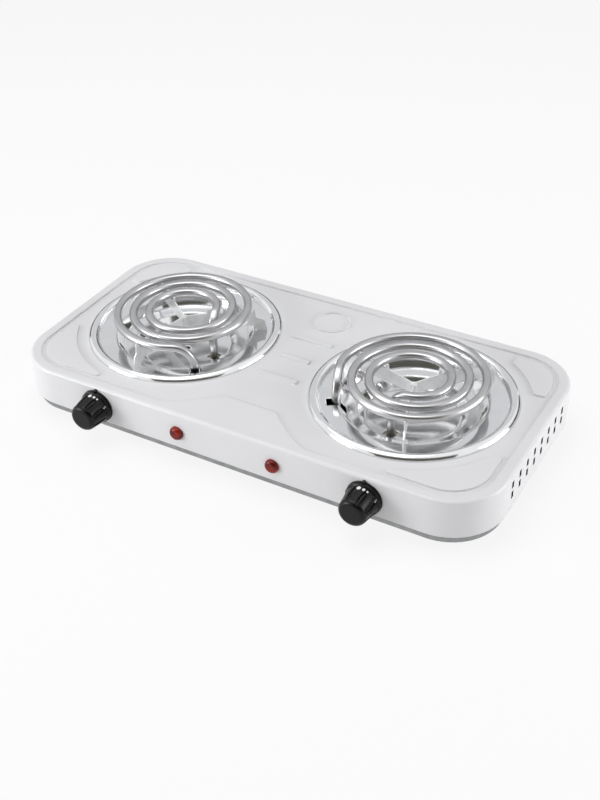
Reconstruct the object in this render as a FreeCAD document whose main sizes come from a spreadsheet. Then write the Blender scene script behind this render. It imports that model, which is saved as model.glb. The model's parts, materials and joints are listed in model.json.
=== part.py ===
"""Twin-burner electric hot plate: pressed steel body, two tubular coils, two control knobs.

The body's plan is centred on x = 0, the front faces -Y and the feet stand on z = 0.
Every size is in millimetres and lives in the spreadsheet "Dims".
"""
import FreeCAD
import Part
import Sketcher

import math
import os
import re

from FreeCAD import Placement, Rotation, Vector

# Driving dimensions
SIZES = {
    # Body
    "body_length": 460, "body_width": 228, "corner_radius": 48, "edge_round": 3,
    "shell_top": 50.7, "shell_bottom": 16, "sheet_gauge": 1,
    "border_width": 10, "field_drop": 1.5, "pad_inset": 15, "pad_round": 2.3, "seat_radius": 100.5,
    "front_tip": 141, "back_tip": 172, "low_tip": 40, "high_tip": 52,
    "plateau_radius": 117, "plateau_back": 72,
    "bar_pitch": 32, "bar_middle": 6, "bar_width": 5, "long_bar": 40, "short_bar": 29,
    "disc_radius": 18, "disc_line": 2.2, "disc_back": 75,
    "slot_pitch": 15.7, "slot_width": 4, "slot_height": 6.6, "slot_low": 29.8, "slot_high": 39.7,
    # Base
    "base_bottom": 8, "base_inset": 3.7, "base_lip": 12,
    "foot_radius": 10, "foot_x": 180, "foot_y": 72, "post_x": 203, "post_y": 88, "post_radius": 4,
    # Burners
    "burner_x": 116.5, "burner_y": 3.8, "pan_hole": 83.6, "bead_ring": 85.2, "bead_radius": 4.9,
    "ledge_level": 48, "ledge_inner": 64, "step_level": 38.5, "step_outer": 57.5, "step_inner": 47.5,
    "floor_level": 29, "floor_outer": 41, "drain_radius": 3, "pan_gauge": 0.8,
    "ledge_round": 3.4, "bowl_round": 2.6,
    "coil_level": 69.8, "tube_radius": 3.9, "coil_start": 64.2, "coil_pitch": 14.5, "coil_shift": 2,
    "leg_turn": 46, "outer_bend": 20, "inner_bend": 14, "leg_end": 20, "outer_slot": 17, "leg_hole": 10,
    "bush_outside": 6.5, "bush_height": 9,
    "arm_gauge": 1.2, "arm_depth": 13, "arm_reach": 76, "arm_gap": 0.2, "tab_rise": 4.5, "tab_width": 3,
    # Controls
    "control_level": 31.3, "knob_x": 131, "knob_radius": 14.2, "knob_nose": 11.8, "knob_reach": 24,
    "nose_round": 4.2, "skirt_radius": 15.3, "skirt_back": 1.7, "bezel_radius": 15.7, "bezel_gauge": 1.2,
    "knob_hollow": 12.3, "knob_web": 4.5, "flute_middle": 16, "flute_reach": 13.6,
    "shaft_radius": 3, "shaft_fit": 0.05, "shaft_depth": 17, "shaft_tail": 14, "neck_radius": 5,
    "screw_spread": 8.5, "case_length": 26, "case_height": 20, "case_depth": 20, "case_plate": 1.2,
    "gland_flange": 2.2, "gland_x": 60,
    "lamp_x": 47, "lens_radius": 6.3, "lens_rise": 4.4, "lens_stem": 4.8, "wire_radius": 1.3,
}
ALIAS = re.compile(r"[a-z]+_[a-z_]+")

doc = FreeCAD.newDocument("hot_plate")
sheet = doc.addObject("Spreadsheet::Sheet", "Dims")
for row, (alias, size) in enumerate(SIZES.items(), start=1):
    sheet.set(f"A{row}", alias)
    sheet.set(f"B{row}", str(size))
    sheet.setAlias(f"B{row}", alias)
doc.recompute()

NODES = {}
UP = Vector(0, 0, 1)
MIDDLE = "(knob_reach - gland_flange) / 2"
TO_FRONT = Rotation(Vector(1, 0, 0), 90)
SIDES = {"left": -1, "right": 1}
FULL_TURN = 360
BURNER_TURN = {"left": 0, "right": -98}
ARM_ANGLES = (-93, 27, 147)
LEG_SWING = 28
INNER_SWEEP = 73
QUARTERS = 10
FLUTES = 8
PIN_LENGTH = 5
WIRE_BEND = 3
CORNERS = [(-1, -1), (1, -1), (1, 1), (-1, 1)]


def with_sheet(text):
    """Write a formula of bare alias names as one that points at the sheet."""
    return ALIAS.sub(lambda word: f"Dims.{word.group()}", text)


def size(text):
    """Give the present value of a formula of sheet names."""
    return float(sheet.evalExpression(text))


def bind(thing, prop, text):
    """Tie one property of an object to a formula of sheet names."""
    thing.setExpression(prop, with_sheet(text))


def put(thing, x="0", y="0", z="0"):
    """Tie an object's position to three formulas."""
    for axis, text in zip("xyz", (x, y, z)):
        bind(thing, f"Placement.Base.{axis}", text)
    return thing


def add(kind, name, **sizes):
    """Make one primitive with its sizes tied to formulas."""
    thing = doc.addObject(kind, name)
    for prop, text in sizes.items():
        bind(thing, prop, text)
    return thing


def block(name, length, width, height, x="0", y="0", z="0"):
    """A box centred on x and y, standing on z."""
    thing = add("Part::Box", name, Length=length, Width=width, Height=height)
    return put(thing, f"{x} - ({length}) / 2", f"{y} - ({width}) / 2", z)


def rod(name, radius, height, x="0", y="0", z="0"):
    """An upright cylinder."""
    return put(add("Part::Cylinder", name, Radius=radius, Height=height), x, y, z)


def join(name, things):
    """Several shapes as one solid."""
    thing = doc.addObject("Part::MultiFuse", name)
    thing.Shapes = things
    thing.Refine = True
    return thing


def group(name, things):
    """Several like solids in one node."""
    thing = doc.addObject("Part::Compound", name)
    thing.Links = things
    return thing


def cut(name, base, tools):
    """A shape less several others."""
    tool = tools[0] if len(tools) == 1 else join(f"{name}_tools", tools)
    thing = doc.addObject("Part::Cut", name)
    thing.Base = base
    thing.Tool = tool
    thing.Refine = True
    return thing


def sketch_outline(body, name, role, points):
    """A closed outline of straight lines through points, each a pair of formulas."""
    plane = next(item for item in body.Origin.OriginFeatures if item.Role == role)
    sketch = body.newObject("Sketcher::SketchObject", name)
    sketch.AttachmentSupport = [(plane, "")]
    sketch.MapMode = "FlatFace"
    corners = [Vector(size(across), size(up), 0) for across, up in points]
    for start, end in zip(corners, corners[1:] + corners[:1]):
        sketch.addGeometry(Part.LineSegment(start, end), False)
    count = len(points)
    for line in range(count):
        sketch.addConstraint(Sketcher.Constraint("Coincident", line, 2, (line + 1) % count, 1))
    for line, (corner, formulas) in enumerate(zip(corners, points)):
        for kind, number, formula in zip(("DistanceX", "DistanceY"), corner, formulas):
            index = sketch.addConstraint(Sketcher.Constraint(kind, -1, 1, line, 1, number))
            bind(sketch, f"Constraints[{index}]", formula)
    return sketch


def round_edges(body, name, feature, radius, wanted):
    """Round those edges of a body's last feature that a test picks."""
    doc.recompute()
    names = [f"Edge{n}" for n, edge in enumerate(feature.Shape.Edges, start=1) if wanted(edge)]
    fillet = body.newObject("PartDesign::Fillet", name)
    fillet.Base = (feature, names)
    bind(fillet, "Radius", radius)
    body.Tip = fillet
    return fillet


def upright(edge):
    """Tell whether an edge runs along Z."""
    ends = edge.Vertexes
    return len(ends) == 2 and abs(ends[0].Z - ends[1].Z) > 0.5


def soften(name, thing, radius):
    """Round the upright edges of a shape where two of its walls meet at a corner."""
    doc.recompute()
    reach = size(radius)
    edges = enumerate(thing.Shape.Edges, start=1)
    sharp = [number for number, edge in edges if upright(edge) and is_corner(thing.Shape, edge)]
    fillet = doc.addObject("Part::Fillet", name)
    fillet.Base = thing
    fillet.Edges = [(number, reach, reach) for number in sharp]
    return fillet


def is_corner(shape, edge):
    """Tell whether the two walls at an edge meet at an angle."""
    walls = shape.ancestorsOfType(edge, Part.Face)
    place = edge.valueAt((edge.FirstParameter + edge.LastParameter) / 2)
    facing = [wall.normalAt(*wall.Surface.parameter(place)) for wall in walls]
    return abs(facing[0].cross(facing[1]).z) > 0.1


def rounded_block(name, length, width, radius, height, z, top_round=None):
    """A pad with a rounded rectangle for its plan."""
    body = doc.addObject("PartDesign::Body", name)
    half_x, half_y = f"({length}) / 2", f"({width}) / 2"
    corners = [(f"-{half_x}", f"-{half_y}"), (half_x, f"-{half_y}"), (half_x, half_y), (f"-{half_x}", half_y)]
    sketch = sketch_outline(body, f"{name}_plan", "XY_Plane", corners)
    pad = body.newObject("PartDesign::Pad", f"{name}_pad")
    pad.Profile = sketch
    bind(pad, "Length", height)
    last = round_edges(body, f"{name}_corners", pad, radius, upright)
    if top_round:
        top = size(height)
        at_top = lambda edge: all(abs(point.Z - top) < 0.01 for point in edge.Vertexes)
        round_edges(body, f"{name}_edge", last, top_round, at_top)
    return put(body, z=z)


def turned(name, points, rounds=()):
    """A solid turned about Z from an outline of (radius, height) formulas.

    Each entry of rounds is a corner's radius and height, and the rounding there.
    """
    body = doc.addObject("PartDesign::Body", name)
    sketch = sketch_outline(body, f"{name}_outline", "XZ_Plane", points)
    turn = body.newObject("PartDesign::Revolution", f"{name}_turn")
    turn.Profile = sketch
    turn.ReferenceAxis = (sketch, ["V_Axis"])
    turn.Angle = FULL_TURN
    last = turn
    for number, (radius, height, rounding) in enumerate(rounds, start=1):
        at = (size(radius), size(height))

        def here(edge):
            circle = edge.Curve
            if not hasattr(circle, "Radius"):
                return False
            return abs(circle.Radius - at[0]) < 0.01 and abs(circle.Center.z - at[1]) < 0.01

        last = round_edges(body, f"{name}_round_{number}", last, rounding, here)
    return body


def strip(name, points, gauge):
    """A sheet strip on edge: an outline in the XZ plane, padded both ways."""
    body = doc.addObject("PartDesign::Body", name)
    sketch = sketch_outline(body, f"{name}_outline", "XZ_Plane", points)
    pad = body.newObject("PartDesign::Pad", f"{name}_pad")
    pad.Profile = sketch
    pad.SideType = "Symmetric"
    bind(pad, "Length", gauge)
    return body


def node(name, thing):
    """Hand a finished object in as a node, moved so that the knobs and gland are centred too."""
    thing.Label = name
    bind(thing, "Placement.Base.y", MIDDLE)
    NODES[name] = thing
    return thing


def solid_node(name, shape):
    """Hand in a shape that only curves in space can make."""
    thing = doc.addObject("Part::Feature", name)
    thing.Shape = shape
    return node(name, thing)


def front_node(name, thing, x):
    """Hand in an object built along +Z as one that points out of the front at x."""
    thing.Placement = Placement(Vector(), TO_FRONT)
    put(thing, x, "0", "control_level")
    thing.Label = name
    bind(thing, "Placement.Base.y", f"{MIDDLE} - body_width / 2")
    NODES[name] = thing
    return thing


def bent_path(points, bend):
    """Straight runs through points, joined by tangent arcs of one radius."""
    edges = []
    last = points[0]
    for before, corner, after in zip(points, points[1:], points[2:]):
        back = (before - corner).normalize()
        ahead = (after - corner).normalize()
        half = back.getAngle(ahead) / 2
        reach = bend / math.tan(half)
        middle = (back + ahead).normalize() * (bend / math.sin(half) - bend)
        edges.append(Part.LineSegment(last, corner + back * reach).toShape())
        edges.append(Part.Arc(corner + back * reach, corner + middle, corner + ahead * reach).toShape())
        last = corner + ahead * reach
    edges.append(Part.LineSegment(last, points[-1]).toShape())
    return edges


def tube(edges, radius):
    """A round solid swept along joined edges."""
    path = Part.Wire(edges)
    start = path.OrderedEdges[0]
    heading = start.tangentAt(start.FirstParameter)
    ring = Part.Wire([Part.makeCircle(radius, start.valueAt(start.FirstParameter), heading)])
    return path.makePipeShell([ring], True, False)


# Body shell: raised border, sunk field, corner pads, front plateau, bars and disc
def burner_rods(name, radius, height, z):
    """One upright cylinder at each burner."""
    return [rod(f"{name}_{side}", radius, height, f"{sign} * burner_x", "burner_y", z)
            for side, sign in SIDES.items()]


def shell():
    """The pressed top with its skirt, open underneath."""
    tall = "shell_top - shell_bottom"
    outer = rounded_block("shell_outer", "body_length", "body_width", "corner_radius", tall,
                          "shell_bottom", "edge_round")
    inner = rounded_block("shell_inner", "body_length - 2 * sheet_gauge", "body_width - 2 * sheet_gauge",
                          "corner_radius - sheet_gauge", f"{tall} - field_drop - sheet_gauge", "shell_bottom")
    field_z = "shell_top - field_drop"
    deep = "field_drop + 1"
    field = rounded_block("field", "body_length - 2 * border_width", "body_width - 2 * border_width",
                          "corner_radius - border_width", deep, field_z)
    between = [block("front_between", "2 * front_tip", "body_width / 2", deep, "0", "-body_width / 4", field_z),
               block("back_between", "2 * back_tip", "body_width / 2", deep, "0", "body_width / 4", field_z),
               block("side_between", "body_length", "low_tip + high_tip", deep, "0",
                     "(high_tip - low_tip) / 2", field_z)]
    pads = soften("corner_pads", cut(
        "sharp_pads", rounded_block("pad_area", "body_length - 2 * pad_inset", "body_width - 2 * pad_inset",
                                    "corner_radius - pad_inset", deep, field_z),
        burner_rods("pad_seat", "seat_radius", deep, field_z) + between), "pad_round")
    front = "body_width / 2 - plateau_back"
    plateau = cut("plateau",
                  block("plateau_area", "2 * burner_x", front, deep, "0", f"-plateau_back - ({front}) / 2",
                        field_z),
                  burner_rods("plateau_seat", "plateau_radius", deep, field_z))
    raised = [pads, plateau]
    for place, long in ((1, "long_bar"), (0, "short_bar"), (-1, "long_bar")):
        raised.append(block(f"bar_{place + 2}", long, "bar_width", deep, "0",
                            f"bar_middle + {place} * bar_pitch", field_z))
    raised.append(cut("disc", rod("disc_out", "disc_radius", deep, "0", "disc_back", field_z),
                      [rod("disc_in", "disc_radius - disc_line", deep, "0", "disc_back", field_z)]))
    openings = burner_rods("pan_hole", "pan_hole", "shell_top", "0")
    for row, level in (("low", "slot_low"), ("high", "slot_high")):
        for step in range(8):
            openings.append(block(f"vent_{row}_{step}", "body_length + 10", "slot_width", "slot_height",
                                  "0", f"{step - 3.5} * slot_pitch", f"{level} - slot_height / 2"))
    for side, sign in SIDES.items():
        for what, place, radius in (("neck", "knob_x", "neck_radius"), ("lamp", "lamp_x", "lens_stem")):
            hole = rod(f"{what}_hole_{side}", f"{radius} + 0.3", "20")
            hole.Placement = Placement(Vector(), TO_FRONT)
            openings.append(put(hole, f"{sign} * {place}", "10 - body_width / 2", "control_level"))
        for screw in (-1, 1):
            hole = rod(f"screw_hole_{side}_{screw + 1}", "1.7", "20")
            hole.Placement = Placement(Vector(), TO_FRONT)
            openings.append(put(hole, f"{sign} * knob_x + {screw} * screw_spread", "10 - body_width / 2",
                                "control_level"))
    inlet = rod("inlet_hole", "7.2", "20", "0", "0", "0")
    inlet.Placement = Placement(Vector(), TO_FRONT)
    openings.append(put(inlet, "gland_x", "body_width / 2 + 10", "control_level - 4"))
    pressed = cut("pressed", outer, [inner, cut("sinking", field, raised)])
    node("top_shell", cut("shell_cut", pressed, openings))
    posts = [rod(f"post_{n}", "post_radius", "shell_top - field_drop - base_bottom - 2 * sheet_gauge",
                 f"{sx} * post_x", f"{sy} * post_y", "base_bottom + sheet_gauge")
             for n, (sx, sy) in enumerate(CORNERS)]
    bores = [rod(f"post_bore_{n}", "1.5", "12", f"{sx} * post_x", f"{sy} * post_y", "base_bottom")
             for n, (sx, sy) in enumerate(CORNERS)]
    node("shell_posts", cut("post_cut", group("post_set", posts), bores))


def base():
    """The grey bottom tray, its feet and its screws."""
    long, wide = "body_length - 2 * base_inset", "body_width - 2 * base_inset"
    tray = cut("tray",
               rounded_block("tray_outer", long, wide, "corner_radius - base_inset", "base_lip", "base_bottom"),
               [rounded_block("tray_inner", f"{long} - 2 * sheet_gauge", f"{wide} - 2 * sheet_gauge",
                              "corner_radius - base_inset - sheet_gauge", "base_lip",
                              "base_bottom + sheet_gauge")])
    holes = []
    for n, (sx, sy) in enumerate(CORNERS):
        for use, radius in (("post", "1.7"), ("foot", "2.2")):
            here = (f"{sx} * {use}_x", f"{sy} * {use}_y", "base_bottom - 2")
            holes.append(rod(f"{use}_clear_{n}", radius, "6", *here))
    for side, sign in SIDES.items():
        for step in range(6):
            holes.append(block(f"base_vent_{side}_{step}", "60", "3.5", "6", f"{sign} * burner_x",
                               f"burner_y + {step - 2.5} * 14", "base_bottom - 2"))
    node("base_plate", cut("tray_cut", tray, holes))
    names = ("front_left", "front_right", "back_right", "back_left")
    screws = []
    for n, (name, (sx, sy)) in enumerate(zip(names, CORNERS)):
        foot = turned(f"foot_{name}_body",
                      [("2.2", "base_bottom"), ("foot_radius", "base_bottom"), ("foot_radius - 1.5", "0"),
                       ("5.5", "0"), ("5.5", "4"), ("2.2", "4")],
                      [("foot_radius - 1.5", "0", "1")])
        node(f"rubber_foot_{name}", group(f"foot_{name}", [put(foot, f"{sx} * foot_x", f"{sy} * foot_y")]))
        head = rod(f"foot_head_{n}", "4", "2", f"{sx} * foot_x", f"{sy} * foot_y", "2")
        shank = rod(f"foot_shank_{n}", "2", "8", f"{sx} * foot_x", f"{sy} * foot_y", "3")
        nut = rod(f"foot_nut_{n}", "4", "2.5", f"{sx} * foot_x", f"{sy} * foot_y", "base_bottom + sheet_gauge")
        screws.append(join(f"foot_screw_{n}", [head, shank, nut]))
    node("foot_screws", group("foot_screw_set", screws))
    fixings = []
    for n, (sx, sy) in enumerate(CORNERS):
        head = rod(f"base_head_{n}", "3", "1.8", f"{sx} * post_x", f"{sy} * post_y", "base_bottom - 1.8")
        shank = rod(f"base_shank_{n}", "1.45", "11", f"{sx} * post_x", f"{sy} * post_y", "base_bottom - 1")
        fixings.append(join(f"base_screw_{n}", [head, shank]))
    node("base_screws", group("base_screw_set", fixings))


# Burners: chromed pan, coil, three-arm support, terminals
def coil_edges():
    """The coil's centre line about its own burner, from the outer leg's foot to the inner leg's foot.

    The turns are quarter arcs whose centres go round a small square, so each is tangent to the next.
    """
    level, step = size("coil_level"), size("coil_pitch") / 4
    low, shift = size("leg_end"), size("coil_shift")
    centre = Vector(shift + step / 2, shift - step / 2, level)
    radius = size("coil_start")
    swing, turn_radius = math.radians(LEG_SWING), size("leg_turn")
    start = centre - Vector(0, radius, 0)
    pivot = start + Vector(0, turn_radius, 0)
    edges = []

    def round_to(middle, reach, first, sweep):
        at = lambda angle: middle + Vector(math.cos(angle), math.sin(angle), 0) * reach
        edges.append(Part.Arc(at(first), at(first + sweep / 2), at(first + sweep)).toShape())

    def drop(point, heading, bend):
        """Points of the bend down from level and of the straight leg under it."""
        down = point + heading * bend - UP * bend
        half = point + heading * (bend * math.sin(math.pi / 4)) - UP * (bend * (1 - math.cos(math.pi / 4)))
        return point, half, down, Vector(down.x, down.y, low)

    leave = pivot + Vector(math.sin(swing), -math.cos(swing), 0) * turn_radius
    top, half, down, outer_foot = drop(leave, Vector(math.cos(swing), math.sin(swing), 0), size("outer_bend"))
    edges += [Part.LineSegment(outer_foot, down).toShape(), Part.Arc(down, half, top).toShape()]
    round_to(pivot, turn_radius, swing - math.pi / 2, -swing)
    first = -math.pi / 2
    for _ in range(QUARTERS):
        round_to(centre, radius, first, -math.pi / 2)
        first -= math.pi / 2
        centre = centre + Vector(math.cos(first), math.sin(first), 0) * step
        radius -= step
    round_to(centre, radius, first, -math.radians(INNER_SWEEP))
    first -= math.radians(INNER_SWEEP)
    end = centre + Vector(math.cos(first), math.sin(first), 0) * radius
    top, half, down, inner_foot = drop(end, Vector(math.sin(first), -math.cos(first), 0), size("inner_bend"))
    edges += [Part.Arc(top, half, down).toShape(), Part.LineSegment(down, inner_foot).toShape()]
    return edges, outer_foot, inner_foot


def least_gap(edges, radius):
    """The smallest clear space between stretches of one tube, measured on points along it."""
    points = []
    run = 0
    for edge in edges:
        count = max(2, int(edge.Length / 2))
        for part in edge.discretize(count)[:-1]:
            points.append((run, part))
            run += edge.Length / (count - 1)
    far = 8 * radius
    apart = [(a - b).Length for i, (s, a) in enumerate(points) for t, b in points[i + 1:] if t - s > far]
    return min(apart) - 2 * radius


def turn_radius_at(angle, turn):
    """Formula for the radius of a turn of the coil where an arm at an angle meets it."""
    clockwise = (-90 - angle) % 360 / 360 + turn
    lean = math.cos(math.radians(angle)) + math.sin(math.radians(angle))
    return f"coil_start + coil_pitch / 8 - coil_pitch * {clockwise:.4f} + coil_shift * {lean:.4f}"


def arm_outline(angle):
    """One arm on edge, as (reach, height): hub, notched top with tabs between the turns, stepped foot."""
    seat = "coil_level - tube_radius - arm_gap"
    tab = f"{seat} + tab_rise"
    deep = f"{seat} - arm_depth"
    points = [("0", deep), ("0", f"{seat} - 3")]
    for turn in (2, 1, 0):
        here = turn_radius_at(angle, turn)
        if size(here) < 24:
            continue
        middle = f"{here} - coil_pitch / 2"
        points += [(f"{middle} - tab_width / 2", seat), (f"{middle} - tab_width / 2 + 0.5", tab),
                   (f"{middle} + tab_width / 2 - 0.5", tab), (f"{middle} + tab_width / 2", seat)]
    outer = f"{turn_radius_at(angle, 0)} + tube_radius + 0.8"
    points += [(outer, seat), (f"{outer} + 0.5", tab), (f"{outer} + 2", tab), (f"{outer} + 2.6", f"{seat} - 4"),
               ("arm_reach - 2", f"{seat} - 7"), ("arm_reach", "ledge_level + 1.5"),
               ("arm_reach", "ledge_level"), ("arm_reach - 9", "ledge_level"), ("arm_reach - 13", deep)]
    return points


def burner(side, sign):
    """One pan with its coil, support, ceramic bushes and terminals."""
    x = f"{sign} * burner_x"
    facing = Rotation(UP, BURNER_TURN[side])

    def stand(thing):
        """Turn a piece made about the burner's own centre and put it in its place."""
        thing.Placement = Placement(Vector(), facing)
        return put(thing, x, "burner_y")

    edges, *feet = coil_edges()
    radius = size("tube_radius")
    print(side, "coil least gap", round(least_gap(edges, radius), 2))
    coil = doc.addObject("Part::Feature", f"coil_{side}")
    coil.Shape = tube(edges, radius)
    node(f"heating_coil_{side}", group(f"coil_{side}_set", [stand(coil)]))

    rim, under = "shell_top - field_drop", "pan_gauge"
    bowl = turned(f"bowl_{side}", [
        ("bead_ring + 1", rim), ("bead_ring + 1", f"{rim} + 2"), ("bead_ring - 2", f"{rim} + 2"),
        ("bead_ring - 5", "ledge_level"), ("ledge_inner", "ledge_level"), ("step_outer", "step_level"),
        ("step_inner", "step_level - 1"), ("floor_outer", "floor_level"), ("drain_radius", "floor_level - 1.5"),
        ("drain_radius", f"floor_level - 1.5 - {under}"), (f"floor_outer + {under}", f"floor_level - {under}"),
        (f"step_inner + {under}", f"step_level - 1 - {under}"),
        (f"step_outer + {under}", f"step_level - {under}"),
        (f"ledge_inner + {under}", f"ledge_level - {under}"), ("bead_ring - 4", f"ledge_level - {under}"),
        ("bead_ring - 2.8", rim)], [
        ("ledge_inner", "ledge_level", "ledge_round"),
        (f"ledge_inner + {under}", f"ledge_level - {under}", f"ledge_round - {under}"),
        ("step_outer", "step_level", "bowl_round"),
        (f"step_outer + {under}", f"step_level - {under}", f"bowl_round + {under}"),
        ("step_inner", "step_level - 1", "bowl_round"),
        (f"step_inner + {under}", f"step_level - 1 - {under}", f"bowl_round - {under}"),
        ("floor_outer", "floor_level", "bowl_round"),
        (f"floor_outer + {under}", f"floor_level - {under}", f"bowl_round + {under}")])
    ring = put(add("Part::Torus", f"ring_{side}", Radius1="bead_ring", Radius2="bead_radius"), z=f"{rim} - 0.6")
    bead = cut(f"bead_{side}", ring, [rod(f"bead_under_{side}", "bead_ring + 10", "20", z=f"{rim} - 20")])
    slots = []
    for leg, foot, wide in zip(("outer", "inner"), feet, ("outer_slot", "leg_hole")):
        slot = add("Part::Box", f"{leg}_slot_{side}", Length=wide, Width="leg_hole", Height="shell_top")
        around = Rotation(UP, math.degrees(math.atan2(foot.y, foot.x)))
        corner = Vector(size(wide), size("leg_hole"), 0) / -2
        slot.Placement = Placement(Vector(foot.x, foot.y, 0), around) * Placement(corner, Rotation())
        slots.append(slot)
    pan = cut(f"pan_{side}", join(f"pan_whole_{side}", [bowl, bead]), slots)
    node(f"drip_pan_{side}", group(f"pan_{side}_set", [stand(pan)]))

    arms = []
    for angle in ARM_ANGLES:
        arm = strip(f"arm_{side}_{angle % FULL_TURN}", arm_outline(angle), "arm_gauge")
        arm.Placement = Placement(Vector(), Rotation(UP, angle))
        arms.append(arm)
    hub = rod(f"hub_{side}", "3", "arm_depth - 3.5", z="coil_level - tube_radius - arm_gap - arm_depth")
    node(f"coil_support_{side}", group(f"support_{side}_set", [stand(join(f"support_{side}", arms + [hub]))]))

    feet = [facing.multVec(foot) for foot in feet]
    bushes, pins = [], []
    for n, foot in enumerate(feet):
        here = (f"{x} + {foot.x:.3f}", f"burner_y + {foot.y:.3f}")
        bush = rod(f"bush_out_{side}_{n}", "bush_outside", "bush_height", *here, "leg_end - 2")
        bores = [rod(f"bush_in_{side}_{n}", "tube_radius + 0.1", "bush_height", *here, "leg_end"),
                 rod(f"bush_pin_{side}_{n}", "1.3", "bush_height", *here, "leg_end - 2")]
        bushes.append(cut(f"bush_{side}_{n}", bush, bores))
        pins.append(rod(f"pin_{side}_{n}", "1.2", f"{PIN_LENGTH}", *here, f"leg_end - {PIN_LENGTH}"))
    node(f"ceramic_bushes_{side}", group(f"bushes_{side}", bushes))
    node(f"terminal_pins_{side}", group(f"pins_{side}", pins))
    return feet


# Controls: knob, bezel, shaft, thermostat, lamp
def control(side, sign):
    """The turning knob and shaft, and what holds them at the front wall."""
    x = f"{sign} * knob_x"
    knob = turned(f"knob_{side}", [
        ("0", "knob_reach"), ("knob_nose", "knob_reach"), ("knob_radius", "5"), ("skirt_radius", "4"),
        ("skirt_radius", "skirt_back"), ("knob_hollow", "skirt_back"), ("knob_hollow", "knob_web"),
        ("shaft_radius + 0.02", "knob_web"), ("shaft_radius + 0.02", "shaft_depth"), ("0", "shaft_depth")],
        [("knob_nose", "knob_reach", "nose_round")])
    flutes = []
    for n in range(FLUTES):
        flute = add("Part::Ellipsoid", f"flute_{side}_{n}", Radius1="2.4", Radius2="10", Radius3="3")
        angle = (n + 0.5) * FULL_TURN / FLUTES
        reach = Vector(math.cos(math.radians(angle)), math.sin(math.radians(angle)), 0) * size("flute_reach")
        on_side = Placement(Vector(), Rotation(Vector(0, 0, 1), Vector(1, 0, 0), Vector(0, 1, 0), "ZXY"))
        flute.Placement = Placement(reach + UP * size("flute_middle"), Rotation(UP, angle)) * on_side
        flutes.append(flute)
    front_node(f"knob_{side}", cut(f"knob_{side}_cut", knob, flutes), x)
    bezel = cut(f"bezel_{side}", join(f"bezel_whole_{side}", [
        rod(f"bezel_rim_{side}", "bezel_radius", "bezel_gauge"),
        block(f"bezel_nub_{side}", "2.4", "2", "bezel_gauge + 1.2", "0", "bezel_radius + 0.7")]),
        [rod(f"bezel_bore_{side}", "12", "6", z="-2")])
    front_node(f"knob_bezel_{side}", bezel, x)
    shaft = rod(f"shaft_{side}", "shaft_radius", "shaft_depth + shaft_tail", z="-shaft_tail")
    front_node(f"control_shaft_{side}", group(f"shaft_{side}_set", [shaft]), x)
    plate_back = "-sheet_gauge - case_plate"
    bore = rod(f"case_bore_{side}", "shaft_radius + shaft_fit", "20", z="-shaft_tail - 1")
    taps = [rod(f"case_tap_{side}_{n}", "1.3", "9", f"{n} * screw_spread", "0", "-sheet_gauge - 8")
            for n in (-1, 1)]
    case = cut(f"case_{side}", join(f"case_whole_{side}", [
        block(f"case_plate_{side}", "case_length + 4", "case_height", "case_plate", z=plate_back),
        block(f"case_block_{side}", "case_length", "case_height", "case_depth", z=f"{plate_back} - case_depth"),
        rod(f"case_neck_{side}", "neck_radius", "sheet_gauge + 1.4", z="-sheet_gauge - 0.4")]), [bore] + taps)
    front_node(f"thermostat_{side}", case, x)
    screws = [join(f"case_screw_{side}_{n}", [
        rod(f"case_head_{side}_{n}", "2.6", "1.2", f"{n} * screw_spread"),
        rod(f"case_shank_{side}_{n}", "1.25", "8", f"{n} * screw_spread", "0", "-7.4")]) for n in (-1, 1)]
    front_node(f"thermostat_screws_{side}", group(f"case_screws_{side}", screws), x)
    blades = [block(f"blade_{side}_{n}", "6", "0.8", "8", f"{n} * 7", "-4", f"{plate_back} - case_depth - 8")
              for n in (-1, 1)]
    front_node(f"thermostat_blades_{side}", group(f"blades_{side}", blades), x)
    x = f"{sign} * lamp_x"
    lens = turned(f"lens_{side}", [
        ("0", "lens_rise"), ("lens_radius", "lens_rise"), ("lens_radius", "0"), ("lens_stem", "0"),
        ("lens_stem", "-9"), ("lens_stem - 1.2", "-9"), ("lens_stem - 1.2", "1"), ("0", "1")],
        [("lens_radius", "lens_rise", "lens_rise - 1.2")])
    front_node(f"lamp_lens_{side}", group(f"lens_{side}_set", [lens]), x)
    bulb = join(f"bulb_{side}", [rod(f"bulb_glass_{side}", "2.8", "13", z="-13"),
                                 rod(f"bulb_base_{side}", "lens_stem", "6", z="-9 - 6")])
    front_node(f"neon_lamp_{side}", bulb, x)
    clip = cut(f"clip_{side}", rod(f"clip_out_{side}", "7.5", "0.8", z="-sheet_gauge - 0.8"),
               [rod(f"clip_in_{side}", "lens_stem", "3", z="-sheet_gauge - 2")])
    front_node(f"lamp_clip_{side}", clip, x)


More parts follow.
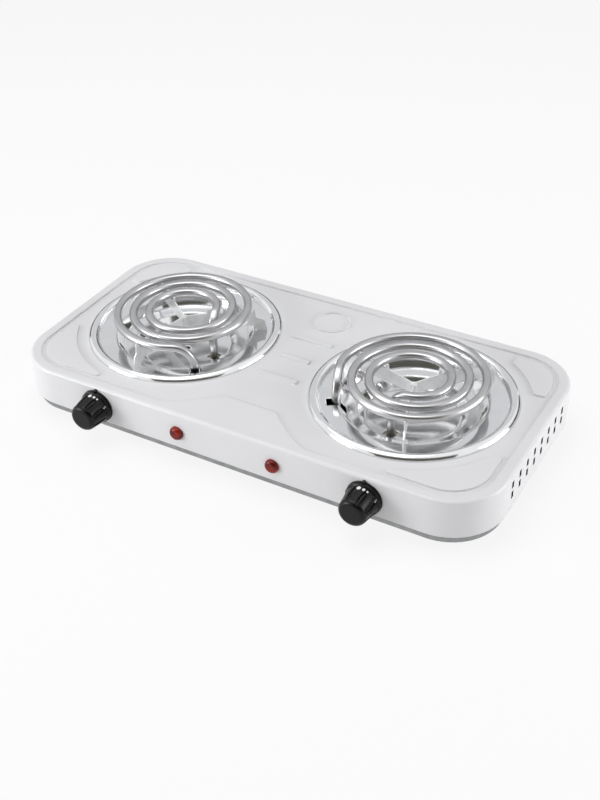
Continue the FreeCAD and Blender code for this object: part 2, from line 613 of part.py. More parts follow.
# Mains side: inlet gland, terminal block, earth screw, wires
def supply(feet):
    """The cable gland in the back wall, the terminal block behind it and the wiring."""
    gland = cut("gland", join("gland_whole", [
        rod("gland_flange_out", "9.5", "gland_flange"),
        rod("gland_neck", "7", "sheet_gauge + 0.4", z="-sheet_gauge - 0.2"),
        rod("gland_flange_in", "9", "2", z="-sheet_gauge - 2")]), [rod("gland_bore", "4", "20", z="-10")])
    gland.Placement = Placement(Vector(), Rotation(Vector(1, 0, 0), -90))
    gland.Label = "cord_gland"
    put(gland, "gland_x", f"body_width / 2 + {MIDDLE}", "control_level - 4")
    NODES["cord_gland"] = gland
    body = block("block_body", "34", "16", "13", "0", "78", "base_bottom + sheet_gauge")
    bores = [rod(f"block_bore_{n}", "2.2", "8", f"{n} * 10", "78", "base_bottom + 8") for n in (-1, 0, 1)]
    node("terminal_block", cut("block_cut", body, bores))
    screws = [rod(f"block_screw_{n}", "2.1", "3", f"{n} * 10", "78", "base_bottom + 8.2") for n in (-1, 0, 1)]
    node("terminal_screws", group("block_screws", screws))
    earth = join("earth", [rod("earth_stud", "2", "9", "40", "60", "base_bottom + sheet_gauge"),
                           rod("earth_nut", "4", "3", "40", "60", "base_bottom + sheet_gauge")])
    node("earth_stud", earth)
    floor = size("base_bottom + sheet_gauge + wire_radius") + 0.5
    joint = size("leg_end") - PIN_LENGTH - 0.2
    for side, sign in SIDES.items():
        here = Vector(sign * size("burner_x"), size("burner_y"), 0)
        outer, inner = [here + Vector(foot.x, foot.y, 0) for foot in feet[side]]
        blade = Vector(sign * size("knob_x") - 7, 31 - size("body_width / 2"), size("control_level") - 4)
        bend_back = blade + Vector(0, 10, 0)
        live = [blade, bend_back, Vector(bend_back.x, bend_back.y, floor), outer + UP * floor,
                outer + UP * joint]
        neutral = [inner + UP * joint, inner + UP * floor, Vector(sign * 5, inner.y + 8, floor),
                   Vector(sign * 5, 69, floor)]
        for name, route in (("live", live), ("neutral", neutral)):
            wire = tube(bent_path(route, WIRE_BEND), size("wire_radius"))
            solid_node(f"{name}_wire_{side}", wire)


def write_parts():
    """Check every object and write one file for each node."""
    doc.recompute()
    for thing in doc.Objects:
        if "Invalid" in thing.State or "Error" in thing.State:
            raise RuntimeError(f"{thing.Name} is in state {thing.State}")
    os.makedirs("parts", exist_ok=True)
    for name, thing in NODES.items():
        shape = thing.Shape
        if shape.isNull() or not shape.isValid() or not shape.Solids:
            raise RuntimeError(f"{name} has no valid solid")
        shape.exportStep(f"parts/{name}.step")
        print(name, len(shape.Solids), round(shape.Volume, 1))


shell()
base()
leg_feet = {side: burner(side, sign) for side, sign in SIDES.items()}
for side, sign in SIDES.items():
    control(side, sign)
supply(leg_feet)
write_parts()
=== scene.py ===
"""Dresses the twin coil hot plate: finishes, sheathed coils, dial marks, studio and camera."""

import json
import logging
import math
from dataclasses import dataclass, field
from enum import Enum
from typing import Iterable, Sequence

import bmesh
import bpy
from mathutils import Matrix, Vector


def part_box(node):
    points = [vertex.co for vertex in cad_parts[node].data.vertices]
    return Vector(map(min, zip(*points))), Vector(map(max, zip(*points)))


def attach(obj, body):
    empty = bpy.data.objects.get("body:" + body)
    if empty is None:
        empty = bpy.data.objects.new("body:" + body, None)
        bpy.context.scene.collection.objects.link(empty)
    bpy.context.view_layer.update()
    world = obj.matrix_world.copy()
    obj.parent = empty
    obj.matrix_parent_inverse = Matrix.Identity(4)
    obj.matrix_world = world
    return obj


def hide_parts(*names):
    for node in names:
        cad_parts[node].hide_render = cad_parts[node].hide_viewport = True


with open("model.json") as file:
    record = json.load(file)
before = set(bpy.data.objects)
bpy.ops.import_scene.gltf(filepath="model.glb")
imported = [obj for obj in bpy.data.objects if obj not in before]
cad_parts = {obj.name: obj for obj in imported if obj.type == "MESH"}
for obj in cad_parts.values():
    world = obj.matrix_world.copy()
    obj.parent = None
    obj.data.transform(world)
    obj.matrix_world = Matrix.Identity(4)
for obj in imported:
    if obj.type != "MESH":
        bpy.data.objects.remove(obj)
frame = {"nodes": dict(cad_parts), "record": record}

LOG = logging.getLogger("hot_plate")
MM = 0.001
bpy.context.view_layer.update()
# Socket numbers of the mix node, whose vector and colour sockets share their names
VECTOR_A, VECTOR_B, VECTOR_OUT = 4, 5, 1
COLOUR_A, COLOUR_B, COLOUR_OUT = 6, 7, 2


class Side(Enum):
    """The two halves of the hot plate, as signs of X."""

    LEFT = -1
    RIGHT = 1

    @property
    def word(self) -> str:
        """The side's word in node names."""
        return self.name.lower()


def linear(code: str) -> tuple[float, float, float, float]:
    """Turn an sRGB hex colour into linear light.

    Args:
        code: colour such as "#E4E4E5".

    Returns:
        Red, green, blue and alpha.
    """
    parts = [int(code[place:place + 2], 16) / 255 for place in (1, 3, 5)]
    lit = [part / 12.92 if part <= 0.04045 else ((part + 0.055) / 1.055) ** 2.4 for part in parts]
    return (lit[0], lit[1], lit[2], 1.0)


def per_mm(size: float) -> float:
    """Scale of a pattern whose features are size millimetres wide, in a space of metres."""
    return 1 / (size * MM)


def add_node(tree: bpy.types.NodeTree, kind: str, links: dict[str | int, object] | None = None,
             **settings: object) -> bpy.types.Node:
    """Add a node with its settings, socket values and links.

    Args:
        tree: node tree that takes the node.
        kind: Blender's name of the node type.
        links: input name or number, to a socket to link or a plain value to set.
        settings: properties of the node itself.

    Returns:
        The new node.
    """
    node = tree.nodes.new(kind)
    for name, value in settings.items():
        setattr(node, name, value)
    for name, value in (links or {}).items():
        if isinstance(value, bpy.types.NodeSocket):
            tree.links.new(value, node.inputs[name])
        else:
            node.inputs[name].default_value = value
    return node


@dataclass(frozen=True)
class Finish:
    """A surface finish with uneven colour, gloss and relief.

    The grain is the size in millimetres of the unevenness, and relief its depth. Colour and gloss
    run from deep to colour where the noise runs from low to high.
    """

    name: str
    colour: str
    deep: str
    roughness: float
    spread: float = 0.06
    metallic: float = 0.0
    coat: float = 0.0
    grain: float = 4.0
    relief: float = 0.01
    relief_grain: float = 1.0
    soft_edge: float = 0.0
    soft_share: float = 1.0
    transmission: float = 0.0
    ior: float | None = None
    specular: float = 0.5
    low: float = 0.3
    high: float = 0.7
    colour_detail: float = 5.0
    relief_detail: float = 3.0
    relief_strength: float = 0.5
    coat_roughness: float = 0.06
    edge_samples: int = 6

    def make(self) -> bpy.types.Material:
        """Build the node material.

        Returns:
            A material named for the finish.
        """
        material = bpy.data.materials.new(self.name)
        material.use_nodes = True
        tree = material.node_tree
        shader = tree.nodes["Principled BSDF"]
        place = add_node(tree, "ShaderNodeTexCoord").outputs["Object"]
        cloud = add_node(tree, "ShaderNodeTexNoise", {
            "Vector": place, "Scale": per_mm(self.grain), "Detail": self.colour_detail}).outputs["Fac"]
        tint = add_node(tree, "ShaderNodeValToRGB", {"Fac": cloud})
        ends = ((self.low, self.deep), (self.high, self.colour))
        for stop, (position, code) in zip(tint.color_ramp.elements, ends):
            stop.position = position
            stop.color = linear(code)
        gloss = add_node(tree, "ShaderNodeMapRange", {
            "Value": cloud, "From Min": self.low, "From Max": self.high,
            "To Min": max(0.0, self.roughness - self.spread / 2), "To Max": self.roughness + self.spread / 2})
        grit = add_node(tree, "ShaderNodeTexNoise", {
            "Vector": place, "Scale": per_mm(self.relief_grain), "Detail": self.relief_detail})
        bump = add_node(tree, "ShaderNodeBump", {
            "Height": grit.outputs["Fac"], "Strength": self.relief_strength, "Distance": self.relief * MM})
        if self.soft_edge:
            rounded = add_node(tree, "ShaderNodeBevel", {"Radius": self.soft_edge * MM},
                               samples=self.edge_samples).outputs["Normal"]
            sharp = add_node(tree, "ShaderNodeNewGeometry").outputs["Normal"]
            eased = add_node(tree, "ShaderNodeMix", {
                "Factor": self.soft_share, VECTOR_A: sharp, VECTOR_B: rounded}, data_type="VECTOR")
            tree.links.new(eased.outputs[VECTOR_OUT], bump.inputs["Normal"])
        for name, socket in (("Base Color", tint.outputs["Color"]), ("Roughness", gloss.outputs["Result"]),
                             ("Normal", bump.outputs["Normal"])):
            tree.links.new(socket, shader.inputs[name])
        shader.inputs["Metallic"].default_value = self.metallic
        shader.inputs["Coat Weight"].default_value = self.coat
        shader.inputs["Coat Roughness"].default_value = self.coat_roughness
        shader.inputs["Transmission Weight"].default_value = self.transmission
        if self.ior:
            shader.inputs["IOR"].default_value = self.ior
        shader.inputs["Specular IOR Level"].default_value = self.specular
        self.extra(tree, shader)
        return material

    def extra(self, tree: bpy.types.NodeTree, shader: bpy.types.Node) -> None:
        """Add what only one kind of finish has."""


@dataclass(frozen=True)
class EnamelledSheet(Finish):
    """Enamel on the outside of a box with round corners, and its dark ground coat inside, deepened to near
    black as painted shade.

    The straight part of each side reaches (half_x, half_y) from the middle, in millimetres. The ground coat,
    near black as painted shade, begins wall millimetres out from there, and further out by pierced at the
    vents of the end walls, so the vent edges get the painted shade too.
    """

    # The ground coat colour, near black: painted shade for the hollow inside, the vent edges and the pan gaps
    ground: str = "#141415"
    half_x: float = 182.0
    half_y: float = 66.0
    middle_y: float = 10.9
    wall: float = 47.4
    pierced: float = 0.54
    pierced_top: float = 46.0
    roof: float = 48.7

    def extra(self, tree: bpy.types.NodeTree, shader: bpy.types.Node) -> None:
        """Colour the inner faces, and the pierced edges of the end walls, with the ground coat: painted
        shade, near black so that the vents and the gaps round the pans read dark.
        """
        place = add_node(tree, "ShaderNodeTexCoord").outputs["Object"]
        centred = add_node(tree, "ShaderNodeVectorMath", {0: place, 1: (0, self.middle_y * MM, 0)},
                           operation="SUBTRACT").outputs[0]
        folded = add_node(tree, "ShaderNodeVectorMath", {0: centred}, operation="ABSOLUTE").outputs[0]
        straight = (self.half_x * MM, self.half_y * MM, 1.0)
        past = add_node(tree, "ShaderNodeVectorMath", {0: folded, 1: straight},
                        operation="SUBTRACT").outputs[0]
        corner = add_node(tree, "ShaderNodeVectorMath", {0: past, 1: (0, 0, 0)},
                          operation="MAXIMUM").outputs[0]
        reach = add_node(tree, "ShaderNodeVectorMath", {0: corner}, operation="LENGTH").outputs["Value"]
        sideways = add_node(tree, "ShaderNodeSeparateXYZ", {0: folded}).outputs["Y"]
        height = add_node(tree, "ShaderNodeSeparateXYZ", {0: place}).outputs["Z"]
        on_end, flat, below = (
            add_node(tree, "ShaderNodeMath", {0: value, 1: most * MM}, operation="LESS_THAN").outputs[0]
            for value, most in ((sideways, self.half_y), (height, self.pierced_top), (height, self.roof)))
        pierced = add_node(tree, "ShaderNodeMath", {0: on_end, 1: flat}, operation="MULTIPLY").outputs[0]
        limit = add_node(tree, "ShaderNodeMath", {0: pierced, 1: self.pierced * MM, 2: self.wall * MM},
                         operation="MULTIPLY_ADD").outputs[0]
        within = add_node(tree, "ShaderNodeMath", {0: reach, 1: limit}, operation="LESS_THAN").outputs[0]
        inside = add_node(tree, "ShaderNodeMath", {0: within, 1: below}, operation="MULTIPLY").outputs[0]
        # Painted shade: the mask turns the inner faces and the vent edges near black
        outside = shader.inputs["Base Color"].links[0].from_socket
        mixed = add_node(tree, "ShaderNodeMix", {
            "Factor": inside, COLOUR_A: outside, COLOUR_B: linear(self.ground)}, data_type="RGBA")
        tree.links.new(mixed.outputs[COLOUR_OUT], shader.inputs["Base Color"])


# Stoved enamel: sprayed and baked, so a faint orange peel under an even gloss, with soft pressed edges
ENAMEL = EnamelledSheet("stoved_white_enamel", "#EAEAEC", "#E6E6E8", 0.30, 0.04, coat=0.15, grain=60,
                        relief=0.004, relief_grain=2.4, soft_edge=1.6, soft_share=0.6)
# Bright chrome over pressed steel: nearly a mirror, with faint wiping haze and round bends
CHROME = Finish("bright_chrome_plate", "#EDEDEE", "#E6E7E8", 0.09, 0.03, metallic=1.0, grain=18,
                relief=0.001, relief_grain=9, soft_edge=2.0)
# Drawn alloy sheath: satin grey that smears each highlight along the tube
SHEATH = Finish("drawn_alloy_sheath", "#C3C3C4", "#B9B9BA", 0.29, 0.04, metallic=1.0, grain=14,
                relief=0.0006, relief_grain=2)
# Bright zinc over cold rolled strip: pale and half shiny, with cloudy patches
ZINC_STRIP = Finish("bright_zinc_strip", "#F6F6F7", "#EAEBEC", 0.40, 0.10, metallic=0.55, grain=5,
                    relief=0.004, relief_grain=1.5, soft_edge=0.3)
# Galvanised sheet: grey and dull, with spangle
GALVANISED = Finish("galvanised_sheet", "#A2A3A4", "#8B8C8D", 0.42, 0.14, metallic=1.0, grain=7,
                    relief=0.02, relief_grain=2, soft_edge=0.5)
# Moulded phenolic: near black with a satin moulding skin
KNOB_BLACK = Finish("satin_phenolic", "#0C0C0D", "#070708", 0.28, 0.08, grain=6,
                    relief=0.006, relief_grain=0.6, soft_edge=0.6, specular=0.24)
# Moulded nylon: black, with a duller skin than the knob
BEZEL_BLACK = Finish("moulded_black_nylon", "#101011", "#0B0B0C", 0.42, 0.08, grain=5,
                     relief=0.012, relief_grain=0.5, soft_edge=0.3)
# Tinted polycarbonate: clear red, with random near black patches as painted shade of its depths
RED_LENS = Finish("red_polycarbonate", "#D82A08", "#4A0703", 0.10, 0.04, grain=7,
                  relief=0.02, relief_grain=1.6, transmission=0.55, ior=1.5, specular=0.12)
# Moulded rubber: matt and dark, with a dusty bloom
RUBBER = Finish("moulded_rubber", "#2A2A2A", "#1E1E1E", 0.78, 0.12, grain=3, relief=0.05, relief_grain=0.5)
# Unglazed steatite: pale cream and chalky
STEATITE = Finish("unglazed_steatite", "#E9E4D6", "#DDD6C5", 0.62, 0.1, grain=2,
                  relief=0.03, relief_grain=0.4)
# Turned brass: yellow, lightly dulled
BRASS = Finish("turned_brass", "#D8B565", "#B98F45", 0.30, 0.14, metallic=1.0, grain=2, relief=0.01)
# Zinc plated screws: bright grey
PLATED = Finish("zinc_plated_screw", "#CDD0D2", "#AEB2B5", 0.30, 0.14, metallic=1.0, grain=2, relief=0.01)
# Brown phenolic control case: dull moulding
PHENOLIC = Finish("brown_phenolic_case", "#3A2E26", "#2B221C", 0.5, 0.12, grain=4,
                  relief=0.03, relief_grain=0.6)
# Neon lamp: thin glass with an amber tint
LAMP_GLASS = Finish("neon_lamp_glass", "#F2C9A4", "#E8B68B", 0.08, 0.04, grain=3, transmission=0.8, ior=1.5)
# Woven glass sleeve: cream, with a fine weave
SLEEVE = Finish("woven_glass_sleeve", "#DED8C8", "#BDB6A5", 0.8, 0.1, grain=0.8, relief=0.1, relief_grain=0.5)
# Pad printed ink: flat white on the dial
INK = Finish("pad_printed_white", "#F4F4F2", "#EAEAE8", 0.45, 0.06, grain=1.5, relief=0.01, relief_grain=0.4)

FINISH_BY_SLOT = {
    "white_enamel": ENAMEL, "zinc_sheet": GALVANISED, "rubber": RUBBER, "chrome": CHROME,
    "coil_sheath": SHEATH, "plated_steel": ZINC_STRIP, "ceramic": STEATITE, "brass": BRASS,
    "fasteners": PLATED, "moulded_case": PHENOLIC, "bezel_plastic": BEZEL_BLACK, "knob_plastic": KNOB_BLACK,
    "red_lens": RED_LENS, "lamp_glass": LAMP_GLASS, "gland_plastic": BEZEL_BLACK, "wire_sleeve": SLEEVE,
}


@dataclass
class Workshop:
    """Keeps the made materials and turns meshes into pieces of the object."""

    made: dict[str, bpy.types.Material] = field(default_factory=dict)

    def finish(self, finish: Finish) -> bpy.types.Material:
        """Give the material of a finish, made once."""
        if finish.name not in self.made:
            self.made[finish.name] = finish.make()
        return self.made[finish.name]

    def dress_nodes(self) -> None:
        """Put each solid's finish on it, by its slot in the record."""
        for entry in frame["record"]["subparts"]:
            node = frame["nodes"][entry["node"]]
            node.data.materials.clear()
            node.data.materials.append(self.finish(FINISH_BY_SLOT[entry["material_slot"]]))
            for face in node.data.polygons:
                face.material_index = 0
            LOG.info("dressed %s", entry["node"])

    def piece(self, name: str, mesh: bpy.types.Mesh, finish: Finish, body: str) -> bpy.types.Object:
        """Make an object of the hot plate that moves with a body.

        Args:
            name: the piece's name.
            mesh: its mesh, in the row frame.
            finish: its surface.
            body: the body that it rides on.

        Returns:
            The new object.
        """
        thing = bpy.data.objects.new(name, mesh)
        bpy.context.scene.collection.objects.link(thing)
        mesh.materials.append(self.finish(finish))
        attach(thing, body)
        LOG.info("built %s", name)
        return thing


def tube_mesh(name: str, line: Sequence[Vector], across: Vector, section: Sequence[tuple[float, float]],
              ) -> bpy.types.Mesh:
    """Sweep a section along points without twisting it.

    Args:
        name: the mesh's name.
        line: points of the centre line.
        across: level direction across the line at its first point.
        section: corners of the section, as (across, up) from the line.

    Returns:
        A closed mesh with smooth sides.
    """
    made = bmesh.new()
    sides = len(section)
    rings = []
    for place, point in enumerate(line):
        before = line[max(place - 1, 0)]
        after = line[min(place + 1, len(line) - 1)]
        heading = (after - before).normalized()
        across = (across - heading * across.dot(heading)).normalized()
        up = heading.cross(across)
        rings.append([made.verts.new(point + across * wide + up * high) for wide, high in section])
    for first, second in zip(rings, rings[1:]):
        for corner in range(sides):
            follow = (corner + 1) % sides
            made.faces.new((first[corner], first[follow], second[follow], second[corner])).smooth = True
    made.faces.new(list(reversed(rings[0])))
    made.faces.new(rings[-1])
    bmesh.ops.recalc_face_normals(made, faces=made.faces)
    mesh = bpy.data.meshes.new(name)
    made.to_mesh(mesh)
    made.free()
    return mesh


def flat_mesh(name: str, side: float, material: bpy.types.Material) -> bpy.types.Mesh:
    """Make a level square.

    Args:
        name: the mesh's name.
        side: its side, in metres.
        material: its surface.

    Returns:
        The mesh.
    """
    made = bmesh.new()
    bmesh.ops.create_grid(made, x_segments=2, y_segments=2, size=side / 2)
    mesh = bpy.data.meshes.new(name)
    made.to_mesh(mesh)
    made.free()
    mesh.materials.append(material)
    return mesh


@dataclass
class HeatingCoil:
    """One sheathed coil: flat turns of quarter arcs, and two legs bent down through the pan."""

    side: Side
    turned: float
    pitch: float = 14.5
    start: float = 64.2
    shift: float = 2.0
    level: float = 69.8
    radius: float = 3.9
    flat: float = 0.8
    crown: float = 0.35
    leg_turn: float = 46.0
    leg_swing: float = 28.0
    outer_bend: float = 20.0
    inner_bend: float = 14.0
    leg_end: float = 20.0
    quarters: int = 10
    inner_sweep: float = 73.0
    step: float = 3.0
    bend_points: int = 10
    corners: int = 32

    def arc(self, centre: Vector, reach: float, first: float, sweep: float) -> list[Vector]:
        """Points of a level arc, without its last one.

        Args:
            centre: the arc's middle.
            reach: its radius.
            first: angle of its first point, in radians.
            sweep: angle that it turns through.

        Returns:
            The points.
        """
        count = max(3, math.ceil(abs(sweep) * reach / self.step))
        turn = [first + sweep * place / count for place in range(count)]
        return [centre + Vector((math.cos(t), math.sin(t), 0)) * reach for t in turn]

    def section(self) -> list[tuple[float, float]]:
        """The sheath's section in metres: round, with its top pressed nearly flat for the pots."""
        out = []
        for corner in range(self.corners):
            turn = math.tau * corner / self.corners
            high = math.sin(turn)
            if high > self.flat:
                high = self.flat + (high - self.flat) * self.crown
            out.append((self.radius * MM * math.cos(turn), self.radius * MM * high))
        return out

    def drop(self, top: Vector, heading: Vector, bend: float) -> list[Vector]:
        """Points of a bend down from level, and of the straight leg under it.

        Args:
            top: where the bend begins.
            heading: the level direction there.
            bend: the bend's radius.

        Returns:
            The points, from the top to the leg's end.
        """
        up = Vector((0, 0, 1))
        turn = [math.pi / 2 * place / self.bend_points for place in range(self.bend_points + 1)]
        points = [top + heading * bend * math.sin(t) - up * bend * (1 - math.cos(t)) for t in turn]
        foot = points[-1].copy()
        foot.z = self.leg_end
        return points + [foot]

    def line(self) -> list[Vector]:
        """The centre line in millimetres about the burner, from the outer leg to the inner one."""
        quarter = self.pitch / 4
        centre = Vector((self.shift + quarter / 2, self.shift - quarter / 2, self.level))
        swing = math.radians(self.leg_swing)
        pivot = centre + Vector((0, self.leg_turn - self.start, 0))
        leave = pivot + Vector((math.sin(swing), -math.cos(swing), 0)) * self.leg_turn
        outer = self.drop(leave, Vector((math.cos(swing), math.sin(swing), 0)), self.outer_bend)
        points = list(reversed(outer))[:-1]
        points += self.arc(pivot, self.leg_turn, swing - math.pi / 2, -swing)
        first, reach = -math.pi / 2, self.start
        for _ in range(self.quarters):
            points += self.arc(centre, reach, first, -math.pi / 2)
            first -= math.pi / 2
            centre = centre + Vector((math.cos(first), math.sin(first), 0)) * quarter
            reach -= quarter
        sweep = math.radians(self.inner_sweep)
        points += self.arc(centre, reach, first, -sweep)
        first -= sweep
        end = centre + Vector((math.cos(first), math.sin(first), 0)) * reach
        return points + self.drop(end, Vector((math.sin(first), -math.cos(first), 0)), self.inner_bend)

    def build(self, shop: Workshop) -> None:
        """Make the coil in the place of its solid."""
        node = f"heating_coil_{self.side.word}"
        low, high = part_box(f"drip_pan_{self.side.word}")
        middle = Vector(((low[0] + high[0]) / 2, (low[1] + high[1]) / 2, 0))
        facing = Matrix.Rotation(math.radians(self.turned), 3, "Z")
        points = [middle + facing @ point * MM for point in self.line()]
        swing = math.radians(self.leg_swing)
        across = facing @ Vector((math.sin(swing), -math.cos(swing), 0))
        mesh = tube_mesh(f"sheathed_{node}", points, across, self.section())
        coil = shop.piece(f"sheathed_{node}", mesh, SHEATH, "frame")
        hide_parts(node)


# How far each coil is turned about its burner, in degrees
COIL_TURNS = {Side.LEFT: 0.0, Side.RIGHT: -98.0}


@dataclass
class DialMarks:
    """Printed dots and numbers round one knob's side."""

    side: Side
    ink: float = 0.08
    dot_rim: float = 0.02
    dot_corners: int = 24
    dot_sizes: tuple[float, ...] = (1.7, 1.25, 0.9)
    dot_angles: tuple[float, ...] = (97.0, 79.0, 65.0)
    dot_back: float = 6.8
    number_angles: tuple[float, ...] = (145.0, 205.0, 265.0, 325.0, 25.0)
    number_size: float = 4.4
    number_back: float = 6.6
    number_curve: int = 6
    knob_radius: float = 14.2
    knob_nose: float = 11.8
    knob_reach: float = 24.0
    grip_back: float = 5.0

    def side_radius(self, back: float) -> float:
        """The grip's radius at a distance in front of the wall, in millimetres."""
        share = (back - self.grip_back) / (self.knob_reach - self.grip_back)
        return self.knob_radius + (self.knob_nose - self.knob_radius) * max(0.0, share)

    def wrapped(self, points: Iterable[tuple[float, float, float]], angle: float,
                back: float) -> list[Vector]:
        """Wrap flat points onto the knob's side.

        Args:
            points: (round the side, along the axis, outwards) in millimetres.
            angle: middle of the mark, in degrees from +X towards +Z.
            back: middle of the mark in front of the wall.

        Returns:
            Points in the row frame, in metres.
        """
        low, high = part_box(f"knob_{self.side.word}")
        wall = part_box("knob_bezel_left")[1][1]
        out = []
        for across, along, proud in points:
            ahead = back - along
            reach = self.side_radius(ahead) + proud
            turn = math.radians(angle) - across / self.side_radius(ahead)
            out.append(Vector(((low[0] + high[0]) / 2 + reach * math.cos(turn) * MM, wall - ahead * MM,
                               (low[2] + high[2]) / 2 + reach * math.sin(turn) * MM)))
        return out

    def dot(self, made: bmesh.types.BMesh, size: float, angle: float) -> None:
        """Add one round dot of ink, crowned at its middle."""
        turns = [math.tau * corner / self.dot_corners for corner in range(self.dot_corners)]
        edge = [(size * math.cos(turn), size * math.sin(turn), self.dot_rim) for turn in turns]
        places = self.wrapped([*edge, (0, 0, self.ink)], angle, self.dot_back)
        *rim, middle = [made.verts.new(place) for place in places]
        for first, second in zip(rim, rim[1:] + rim[:1]):
            made.faces.new((first, second, middle))

    def number(self, made: bmesh.types.BMesh, word: str, angle: float) -> None:
        """Add one printed number."""
        letters = bpy.data.curves.new(f"number_{word}", "FONT")
        letters.body = word
        letters.align_x = "CENTER"
        letters.align_y = "CENTER"
        letters.size = self.number_size
        letters.resolution_u = self.number_curve
        holder = bpy.data.objects.new(f"number_{word}", letters)
        bpy.context.scene.collection.objects.link(holder)
        bpy.context.view_layer.update()
        graph = bpy.context.evaluated_depsgraph_get()
        flat = bpy.data.meshes.new_from_object(holder.evaluated_get(graph))
        corners = [(vertex.co.x, vertex.co.y, self.ink) for vertex in flat.vertices]
        places = self.wrapped(corners, angle, self.number_back)
        verts = [made.verts.new(place) for place in places]
        for face in flat.polygons:
            made.faces.new([verts[corner] for corner in face.vertices])
        bpy.data.objects.remove(holder)
        bpy.data.meshes.remove(flat)

    def build(self, shop: Workshop) -> None:
        """Make one knob's marks as a piece that turns with it."""
        made = bmesh.new()
        for size, angle in zip(self.dot_sizes, self.dot_angles):
            self.dot(made, size, angle)
        for number, angle in enumerate(self.number_angles, start=1):
            self.number(made, str(number), angle)
        bmesh.ops.recalc_face_normals(made, faces=made.faces)
        mesh = bpy.data.meshes.new(f"dial_marks_{self.side.word}")
        made.to_mesh(mesh)
        made.free()
        marks = shop.piece(f"dial_marks_{self.side.word}", mesh, INK, f"knob_{self.side.word}")


@dataclass(frozen=True)
class Softbox:
    """A soft square lamp, with its places and size in metres and its power in watts."""

    name: str
    place: tuple[float, float, float]
    size: float
    power: float
    aim: tuple[float, float, float] = (0.0, 0.0, 0.03)

    def hang(self) -> None:
        """Add the lamp to the scene."""
        light = bpy.data.lights.new(self.name, "AREA")
        light.size = self.size
        light.energy = self.power
        holder = bpy.data.objects.new(self.name, light)
        holder.location = self.place
        holder.rotation_euler = (Vector(self.aim) - Vector(self.place)).to_track_quat("-Z", "Y").to_euler()
        bpy.context.scene.collection.objects.link(holder)


@dataclass(frozen=True)
class Card:
    """A grey card that shows only in the metal and gives it its bands."""

    name: str
    place: tuple[float, float, float]
    size: tuple[float, float]
    code: str
    aim: tuple[float, float, float] = (0.0, 0.0, 0.05)

    def hang(self) -> None:
        """Add the card to the stage."""
        material = bpy.data.materials.new(f"{self.name}_card")
        material.use_nodes = True
        tree = material.node_tree
        grey = add_node(tree, "ShaderNodeEmission", {"Color": linear(self.code), "Strength": 1.0})
        tree.links.new(grey.outputs[0], tree.nodes["Material Output"].inputs["Surface"])
        card = bpy.data.objects.new(self.name, flat_mesh(self.name, 1.0, material))
        facing = (Vector(self.aim) - Vector(self.place)).to_track_quat("Z", "Y").to_matrix().to_4x4()
        card.matrix_world = Matrix.Translation(self.place) @ facing @ Matrix.Diagonal((*self.size, 1, 1))
        card.visible_camera = False
        card.visible_diffuse = False
        card.visible_shadow = False
        bpy.context.scene.collection.objects.link(card)


SOFTBOXES = (
    Softbox("top_softbox", (-0.3, -0.05, 1.3), 1.0, 6.6),
    Softbox("right_softbox", (1.3, 0.5, 0.34), 0.8, 9.5, aim=(0.2, 0.0, 0.03)),
    Softbox("front_left_softbox", (-1.15, -1.15, 0.46), 0.8, 12.0, aim=(-0.1, 0.0, 0.03)),
)
CARDS = (
    Card("back_flag", (-0.95, 1.52, 1.3), (3.2, 1.1), "#DCDDDF"),
    Card("low_back_flag", (-1.0, 1.6, 0.3), (3.4, 0.6), "#4A4A44"),
    Card("right_back_flag", (1.2, 1.4, 0.3), (1.8, 0.6), "#4A4A44"),
    Card("front_flag", (0.5, -0.85, 0.6), (1.7, 1.0), "#5A5A53"),
)


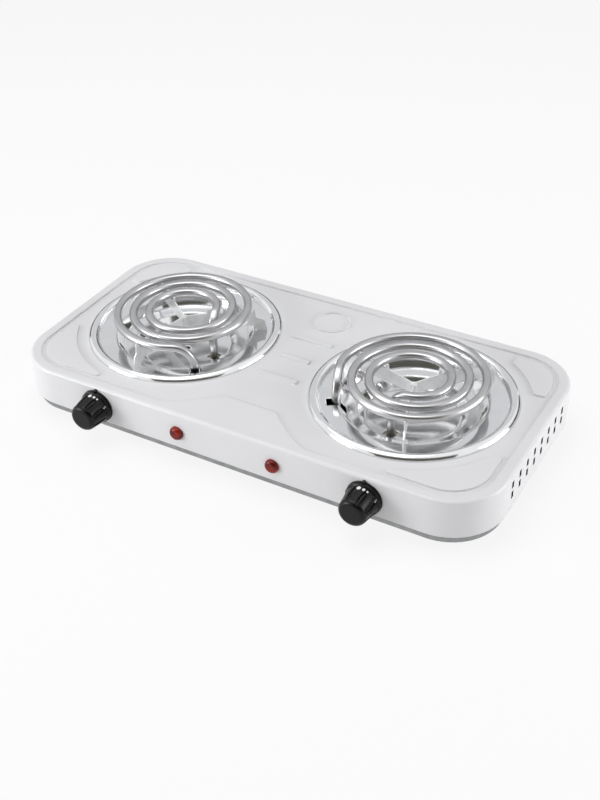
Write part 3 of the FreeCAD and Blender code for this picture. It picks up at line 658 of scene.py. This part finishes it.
@dataclass
class Studio:
    """White ground, soft lamps, and the camera at the photograph's view.

    The lens and the middle of its picture are in pixels of a 600 x 800 frame.
    """

    wide: int = 600
    tall: int = 800
    lens: float = 1222.1
    middle: tuple[float, float] = (278.5, 362.2)
    azimuth: float = 31.958
    elevation: float = 33.919
    roll: float = -2.429
    distance: float = 1115.7
    target: tuple[float, float, float] = (-24.57, 27.63, 31.99)
    sensor: float = 36.0
    floor_size: float = 8.0
    floor_glow: float = 0.85
    floor_colour: str = "#F4F4F4"
    floor_roughness: float = 0.9
    sky_light: float = 0.38

    def camera(self) -> None:
        """Place the camera."""
        turn, rise, roll = (math.radians(angle) for angle in (self.azimuth, self.elevation, self.roll))
        back = Vector((math.sin(turn) * math.cos(rise), -math.cos(turn) * math.cos(rise), math.sin(rise)))
        level = Vector((0, 0, 1)).cross(back).normalized()
        up = back.cross(level)
        right = level * math.cos(roll) + up * math.sin(roll)
        above = up * math.cos(roll) - level * math.sin(roll)
        seen = bpy.data.cameras.new("camera")
        seen.sensor_fit = "VERTICAL"
        seen.sensor_height = self.sensor
        seen.lens = self.lens * self.sensor / self.tall
        seen.shift_x = (self.wide / 2 - self.middle[0]) / self.tall
        seen.shift_y = (self.middle[1] - self.tall / 2) / self.tall
        holder = bpy.data.objects.new("camera", seen)
        place = (Vector(self.target) + back * self.distance) * MM
        holder.matrix_world = Matrix.Translation(place) @ Matrix((right, above, back)).transposed().to_4x4()
        bpy.context.scene.collection.objects.link(holder)
        bpy.context.scene.camera = holder

    def white_to_eye(self, tree: bpy.types.NodeTree, plain: bpy.types.NodeSocket,
                     white: bpy.types.NodeSocket, share: float = 1.0) -> bpy.types.NodeSocket:
        """Mix a shader so that the camera, metal and glass see white.

        Args:
            tree: node tree that takes the mix.
            plain: shader that lights the object.
            white: shader that is seen.
            share: how much of the white is seen, and the rest keeps the shadow.

        Returns:
            The mixed shader's socket.
        """
        path = add_node(tree, "ShaderNodeLightPath").outputs
        mirror = add_node(tree, "ShaderNodeMath", {0: path["Is Glossy Ray"], 1: path["Is Transmission Ray"]},
                          operation="MAXIMUM").outputs[0]
        seen = add_node(tree, "ShaderNodeMath", {0: path["Is Camera Ray"], 1: mirror}, operation="MAXIMUM")
        part = add_node(tree, "ShaderNodeMath", {0: seen.outputs[0], 1: share}, operation="MULTIPLY")
        return add_node(tree, "ShaderNodeMixShader", {0: part.outputs[0], 1: plain, 2: white}).outputs[0]

    def ground(self) -> None:
        """Lay the pale floor."""
        material = bpy.data.materials.new("white_paper_floor")
        material.use_nodes = True
        tree = material.node_tree
        shader = tree.nodes["Principled BSDF"]
        shader.inputs["Base Color"].default_value = linear(self.floor_colour)
        shader.inputs["Roughness"].default_value = self.floor_roughness
        glow = add_node(tree, "ShaderNodeEmission", {"Strength": 1.0})
        seen = self.white_to_eye(tree, shader.outputs[0], glow.outputs[0], self.floor_glow)
        tree.links.new(seen, tree.nodes["Material Output"].inputs["Surface"])
        floor = bpy.data.objects.new("floor", flat_mesh("floor", self.floor_size, material))
        bpy.context.scene.collection.objects.link(floor)

    def sky(self) -> None:
        """Set the world: dim to the object, white to the eye."""
        world = bpy.data.worlds.new("studio")
        bpy.context.scene.world = world
        world.use_nodes = True
        tree = world.node_tree
        dim = tree.nodes["Background"]
        dim.inputs["Color"].default_value = (1, 1, 1, 1)
        dim.inputs["Strength"].default_value = self.sky_light
        white = add_node(tree, "ShaderNodeBackground", {"Color": (1, 1, 1, 1), "Strength": 1.0})
        seen = self.white_to_eye(tree, dim.outputs[0], white.outputs[0])
        tree.links.new(seen, tree.nodes["World Output"].inputs["Surface"])

    def build(self) -> None:
        """Set up the whole studio."""
        bpy.context.scene.view_settings.view_transform = "Standard"
        self.camera()
        self.ground()
        self.sky()
        for thing in (*SOFTBOXES, *CARDS):
            thing.hang()


def main() -> None:
    """Dress the solids, build the pieces and set up the studio."""
    logging.basicConfig(level=logging.INFO)
    shop = Workshop()
    shop.dress_nodes()
    for side, turned in COIL_TURNS.items():
        HeatingCoil(side, turned).build(shop)
        DialMarks(side).build(shop)
    Studio().build()


if __name__ == "__main__":
    main()
